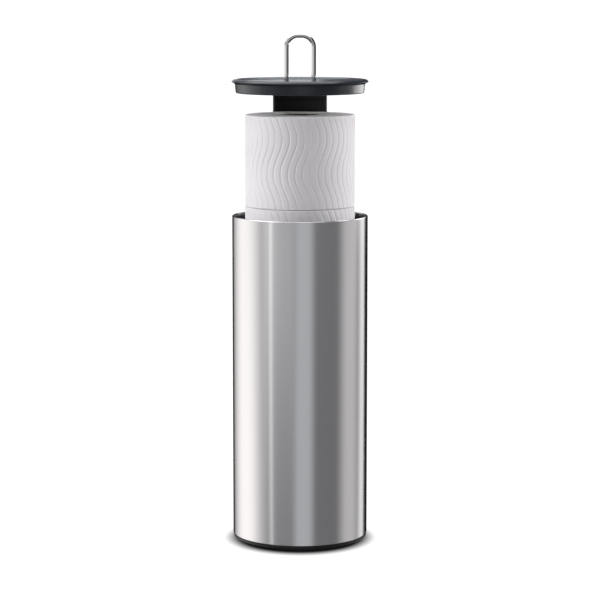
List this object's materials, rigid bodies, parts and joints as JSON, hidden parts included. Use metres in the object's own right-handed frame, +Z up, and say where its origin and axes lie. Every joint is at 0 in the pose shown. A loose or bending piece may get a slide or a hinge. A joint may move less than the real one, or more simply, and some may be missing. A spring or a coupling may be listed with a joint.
{
  "type": "toilet roll canister",
  "caption": "Lidded cylindrical steel canister with a lift-out carrier: wire handle, plastic lid, rear spine and tray for spare paper rolls.",
  "frame": {"origin": "centre of the canister's footprint, on the surface that it stands on", "axes": "+Z up along the canister's axis, -Y towards the front (the open side of the carrier), +Y towards the spine, +X to the right seen from the front"},
  "size_m": [0.1462, 0.1462, 0.5435],
  "materials": {
    "brushed_steel": "fine brushed stainless steel, brushed round the tube",
    "polished_wire": "polished stainless steel wire",
    "zinc_fastener": "zinc-plated steel",
    "slate_plastic": "moulded plastic, slate grey, satin",
    "black_plastic": "moulded plastic, black, satin",
    "rubber_foot": "matt black rubber",
    "tissue_paper": "embossed white tissue, wound",
    "core_board": "wound brown cardboard"
  },
  "bodies": {
    "canister": {"canister_shell": "brushed_steel", "canister_liner": "black_plastic", "canister_base": "black_plastic", "foot_ring": "rubber_foot"},
    "carrier": {"lid": "slate_plastic", "lid_plate": "black_plastic", "handle_loop": "polished_wire", "handle_washer_left": "zinc_fastener", "handle_washer_right": "zinc_fastener", "handle_nut_left": "zinc_fastener", "handle_nut_right": "zinc_fastener", "plate_screw_left": "zinc_fastener", "plate_screw_right": "zinc_fastener", "spine_screw_left": "zinc_fastener", "spine_screw_right": "zinc_fastener", "tray_screw_left": "zinc_fastener", "tray_screw_right": "zinc_fastener", "spine": "black_plastic", "tray": "black_plastic"},
    "roll_top": {"roll_top_paper": "tissue_paper", "roll_top_core": "core_board"},
    "roll_middle": {"roll_middle_paper": "tissue_paper", "roll_middle_core": "core_board"},
    "roll_bottom": {"roll_bottom_paper": "tissue_paper", "roll_bottom_core": "core_board"}
  },
  "joints": [
    {"name": "carrier_lift", "type": "slide", "parent": "canister", "child": "carrier", "axis": [0, 0, 1], "range_m": [-0.1408, 0.2]},
    {"name": "roll_top_turn", "type": "hinge", "parent": "carrier", "child": "roll_top", "pos_m": [0, 0, 0.4092], "axis": [0, 0, 1], "continuous": true},
    {"name": "roll_middle_turn", "type": "hinge", "parent": "carrier", "child": "roll_middle", "pos_m": [0, 0, 0.3117], "axis": [0, 0, 1], "continuous": true},
    {"name": "roll_bottom_turn", "type": "hinge", "parent": "carrier", "child": "roll_bottom", "pos_m": [0, 0, 0.2142], "axis": [0, 0, 1], "continuous": true}
  ]
}
